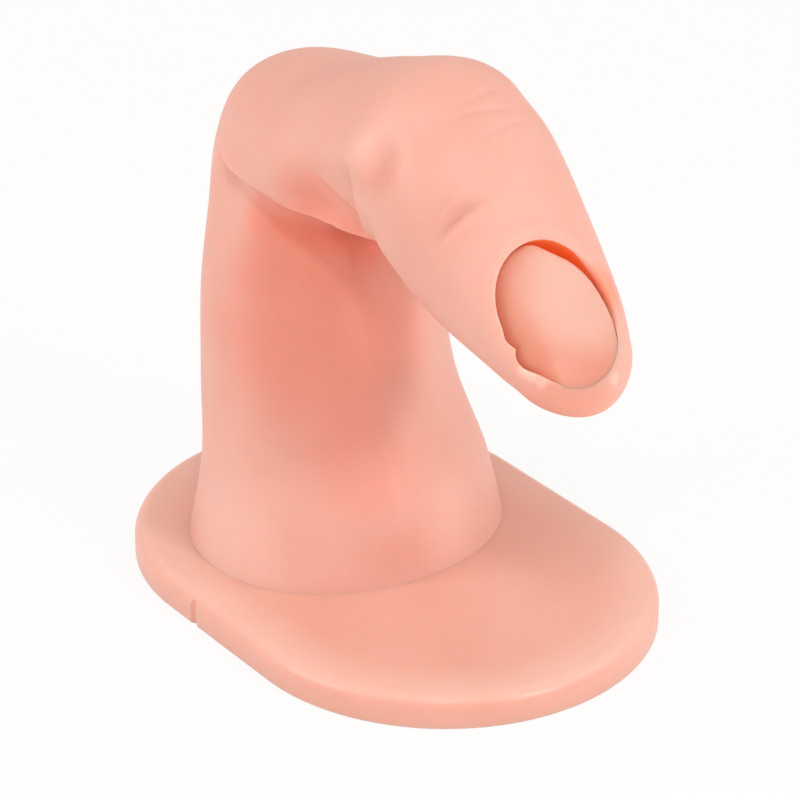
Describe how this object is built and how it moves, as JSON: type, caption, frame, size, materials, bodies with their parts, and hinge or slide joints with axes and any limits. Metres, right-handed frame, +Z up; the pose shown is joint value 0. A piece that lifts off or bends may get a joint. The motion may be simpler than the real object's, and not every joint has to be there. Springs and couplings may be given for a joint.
{
  "type": "nail practice finger",
  "caption": "Soft moulded finger, bent at its middle joint, standing on a flat rounded foot, with a recessed nail bed where practice nails are fitted.",
  "frame": {"origin": "centre of the foot's flat underside", "axes": "+Z up from the table; the bent finger points along -Y; X runs across the finger from side to side"},
  "size_m": [0.056, 0.0805, 0.0768],
  "materials": {
    "plate_vinyl": "satin soft vinyl",
    "skin_vinyl": "satin soft vinyl",
    "bed_vinyl": "satin soft vinyl"
  },
  "bodies": {
    "root": {"base_plate": "plate_vinyl", "finger_skin": "skin_vinyl", "nail_bed": "bed_vinyl"}
  },
  "joints": []
}
